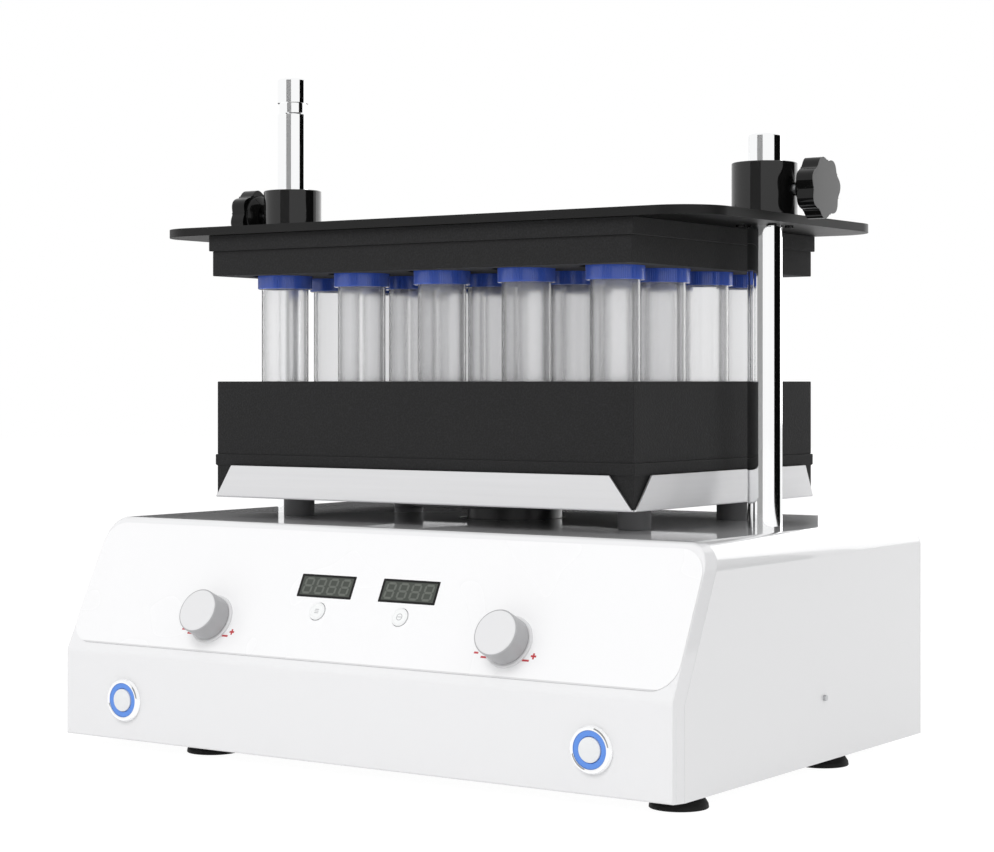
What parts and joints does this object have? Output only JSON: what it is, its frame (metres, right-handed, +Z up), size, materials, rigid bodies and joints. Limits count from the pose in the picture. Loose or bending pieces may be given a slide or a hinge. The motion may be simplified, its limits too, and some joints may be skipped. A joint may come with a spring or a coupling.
{
  "type": "multi-tube vortex mixer",
  "caption": "Bench mixer with a slanted-front case, an orbiting tray of capped tubes in foam, and a press plate that slides on two posts and clamps with star knobs.",
  "frame": {"origin": "on the bench, under the middle of the case", "axes": "+X across the front to the right, +Y to the rear, +Z up"},
  "size_m": [0.4532, 0.3192, 0.4389],
  "materials": {
    "shell_white": "gloss white powder coat",
    "panel_film": "satin printed film",
    "display_glass": "dark gloss window",
    "display_block": "matt black",
    "board_green": "satin solder mask",
    "knob_grey": "satin light grey",
    "key_white": "satin white",
    "bezel_chrome": "polished",
    "ring_blue": "lit diffuser",
    "button_face": "satin",
    "post_chrome": "polished hard chrome",
    "rubber_black": "moulded rubber",
    "foam_black": "closed-cell foam",
    "tray_aluminium": "satin sheet",
    "hub_black": "black anodised",
    "steel_plain": "machined",
    "motor_grey": "painted",
    "tube_clear": "clear polypropylene",
    "cap_blue": "satin moulded",
    "plate_black": "black anodised",
    "knob_black": "glossy moulded",
    "supply_case": "plain sheet",
    "inlet_black": "moulded",
    "pin_brass": "plated"
  },
  "bodies": {
    "base": {"top_cover": "shell_white", "front_panel": "shell_white", "rear_panel": "shell_white", "bottom_pan": "shell_white", "feet": "rubber_black", "foot_screws": "steel_plain", "case_screws": "steel_plain", "panel_overlay": "panel_film", "display_windows": "display_glass", "display_modules": "display_block", "display_board": "board_green", "board_spacers": "steel_plain", "encoders": "steel_plain", "knob_rings": "knob_grey", "key_switches": "display_block", "button_bodies": "bezel_chrome", "light_rings": "ring_blue", "button_nuts": "steel_plain", "chassis_plate": "steel_plain", "chassis_pillars": "steel_plain", "left_post": "post_chrome", "right_post": "post_chrome", "post_screws": "steel_plain", "vibration_mounts": "rubber_black", "mount_nuts": "steel_plain", "motor": "motor_grey", "motor_plate": "steel_plain", "motor_standoffs": "steel_plain", "motor_screws": "steel_plain", "power_supply": "supply_case", "control_board": "board_green", "power_inlet": "inlet_black", "inlet_pins": "pin_brass"},
    "crank": {"motor_shaft": "steel_plain", "eccentric": "steel_plain", "counterweight": "steel_plain", "bearing_inner_rings": "steel_plain"},
    "tray": {"bearing_outer_rings": "steel_plain", "drive_hub": "hub_black", "tray": "tray_aluminium", "hub_screws": "steel_plain", "mount_caps": "steel_plain", "base_pad": "foam_black", "foam_rack": "foam_black", "tubes": "tube_clear", "tube_caps": "cap_blue"},
    "press": {"press_foam_lower": "foam_black", "press_foam_upper": "foam_black", "press_plate": "plate_black", "left_collar": "plate_black", "right_collar": "plate_black", "collar_screws": "steel_plain"},
    "left_clamp": {"left_clamp_knob": "knob_black"},
    "right_clamp": {"right_clamp_knob": "knob_black"},
    "speed_knob": {"speed_knob": "knob_grey"},
    "time_knob": {"time_knob": "knob_grey"},
    "speed_key": {"speed_key": "key_white"},
    "time_key": {"time_key": "key_white"},
    "power_button": {"power_button": "button_face"},
    "start_button": {"start_button": "button_face"}
  },
  "joints": [
    {"name": "crank_spin", "type": "hinge", "parent": "base", "child": "crank", "pos_m": [0, 0.023, 0.1044], "axis": [0, 0, 1], "continuous": true},
    {"name": "tray_orbit", "type": "hinge", "parent": "crank", "child": "tray", "pos_m": [0.0018, 0.023, 0.1274], "axis": [0, 0, 1], "continuous": true},
    {"name": "press_lift", "type": "slide", "parent": "base", "child": "press", "axis": [0, 0, 1], "range_m": [0, 0.073]},
    {"name": "left_clamp_turn", "type": "hinge", "parent": "press", "child": "left_clamp", "pos_m": [-0.203, 0.023, 0.3455], "axis": [-1, 0, 0], "range_deg": [0, 720]},
    {"name": "right_clamp_turn", "type": "hinge", "parent": "press", "child": "right_clamp", "pos_m": [0.203, 0.023, 0.3455], "axis": [1, 0, 0], "range_deg": [0, 720]},
    {"name": "speed_knob_turn", "type": "hinge", "parent": "base", "child": "speed_knob", "pos_m": [-0.11, -0.14219, 0.08501], "axis": [0, -0.8944, 0.4472], "continuous": true},
    {"name": "time_knob_turn", "type": "hinge", "parent": "base", "child": "time_knob", "pos_m": [0.11, -0.14219, 0.08501], "axis": [0, -0.8944, 0.4472], "continuous": true},
    {"name": "speed_key_press", "type": "slide", "parent": "base", "child": "speed_key", "axis": [0, 0.8944, -0.4472], "range_m": [0, 0.0008], "stiffness_N_per_m": 400, "springref_m": -0.0005},
    {"name": "time_key_press", "type": "slide", "parent": "base", "child": "time_key", "axis": [0, 0.8944, -0.4472], "range_m": [0, 0.0008], "stiffness_N_per_m": 400, "springref_m": -0.0005},
    {"name": "power_button_press", "type": "slide", "parent": "base", "child": "power_button", "axis": [0, 1, 0], "range_m": [0, 0.0025], "stiffness_N_per_m": 600, "springref_m": -0.001},
    {"name": "start_button_press", "type": "slide", "parent": "base", "child": "start_button", "axis": [0, 1, 0], "range_m": [0, 0.0025], "stiffness_N_per_m": 600, "springref_m": -0.001}
  ],
  "couplings": [
    {"joint": "tray_orbit", "follows": "crank_spin", "ratio": -1}
  ]
}
